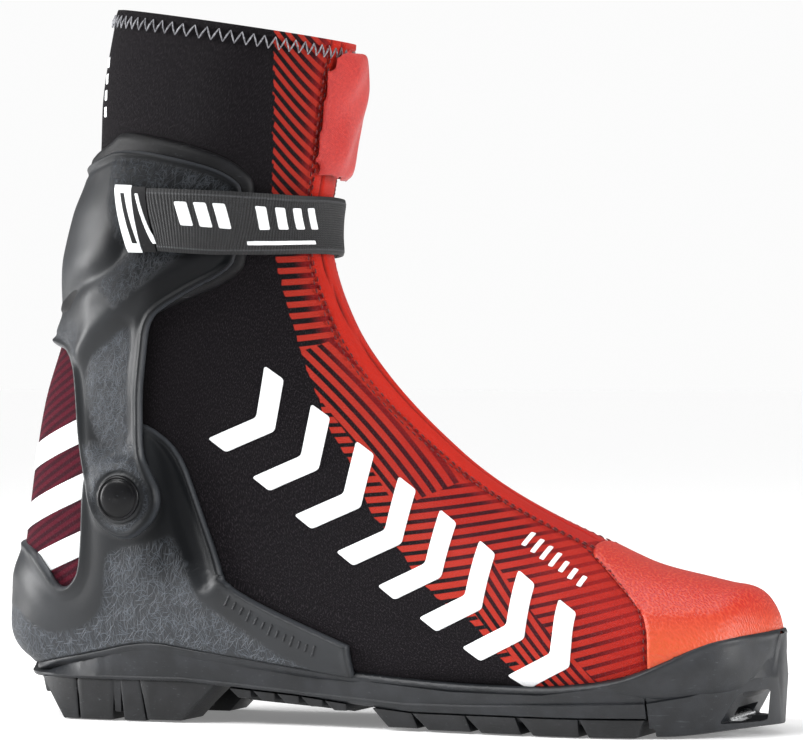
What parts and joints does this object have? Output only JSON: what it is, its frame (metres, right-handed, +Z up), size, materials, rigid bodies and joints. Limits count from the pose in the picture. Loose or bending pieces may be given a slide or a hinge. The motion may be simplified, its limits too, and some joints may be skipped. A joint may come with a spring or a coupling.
{
  "type": "cross country ski boot",
  "caption": "Ankle-high skate boot with a softshell upper, hinged plastic cuff, covered front zip, hook-and-loop strap and binding sole.",
  "frame": {"origin": "on the ground under the middle of the boot", "axes": "+X towards the toe, +Y towards the inner side of the foot, +Z up"},
  "size_m": [0.2967, 0.099, 0.2634],
  "materials": {
    "red_shell": "satin",
    "softshell": "matt knit",
    "toe_shell": "satin",
    "liner": "matt",
    "plastic": "fibre-textured, satin borders",
    "sole": "satin",
    "rim": "satin",
    "webbing": "ribbed webbing",
    "gloss": "gloss",
    "steel": "bright",
    "tab": "printed"
  },
  "bodies": {
    "foot": {"softshell_foot": "red_shell", "liner_foot": "liner", "ankle_flex_zone": "softshell", "insole": "liner", "toe_panel": "toe_shell", "heel_counter": "plastic", "pivot_rivet_lateral": "gloss", "pivot_rivet_medial": "gloss", "pivot_washer_lateral": "steel", "pivot_washer_medial": "steel", "sole_carrier": "sole", "toe_block": "sole", "binding_bar": "steel", "heel_tread_lateral": "sole", "heel_tread_medial": "sole", "fore_tread_lateral": "sole", "fore_tread_medial": "sole", "heel_guide_ridge": "sole", "fore_guide_ridge": "sole", "shank": "sole", "zip_foot": "red_shell", "zip_instep": "red_shell"},
    "cuff": {"cuff": "plastic", "cuff_lining": "rim", "softshell_collar": "softshell", "liner_collar": "liner", "zip_leg": "red_shell", "zip_stop": "steel", "strap": "webbing", "strap_rivet": "gloss", "hook_patch": "rim"},
    "zip_slider": {"zip_slider": "steel", "zip_pull": "rim"},
    "flap": {"garage_flap": "red_shell"},
    "strap_end": {"strap_end": "webbing", "strap_tab": "tab"}
  },
  "joints": [
    {"name": "cuff_flex", "type": "hinge", "parent": "foot", "child": "cuff", "pos_m": [-0.09, 0, 0.082], "axis": [0, 1, 0], "range_deg": [-4, 18], "stiffness_Nm_per_rad": 4, "deforming": ["ankle_flex_zone", "zip_instep"]},
    {"name": "zip_slide", "type": "slide", "parent": "cuff", "child": "zip_slider", "axis": [-0.1531, 0, -0.9882], "range_m": [0, 0.028]},
    {"name": "flap_fold", "type": "hinge", "parent": "cuff", "child": "flap", "pos_m": [-0.0217, -0.014, 0.223], "axis": [-0.1531, 0, -0.9882], "range_deg": [0, 100]},
    {"name": "strap_peel", "type": "hinge", "parent": "cuff", "child": "strap_end", "pos_m": [-0.0432, -0.0395, 0.182], "axis": [0, 0, 1], "range_deg": [0, 120]}
  ]
}
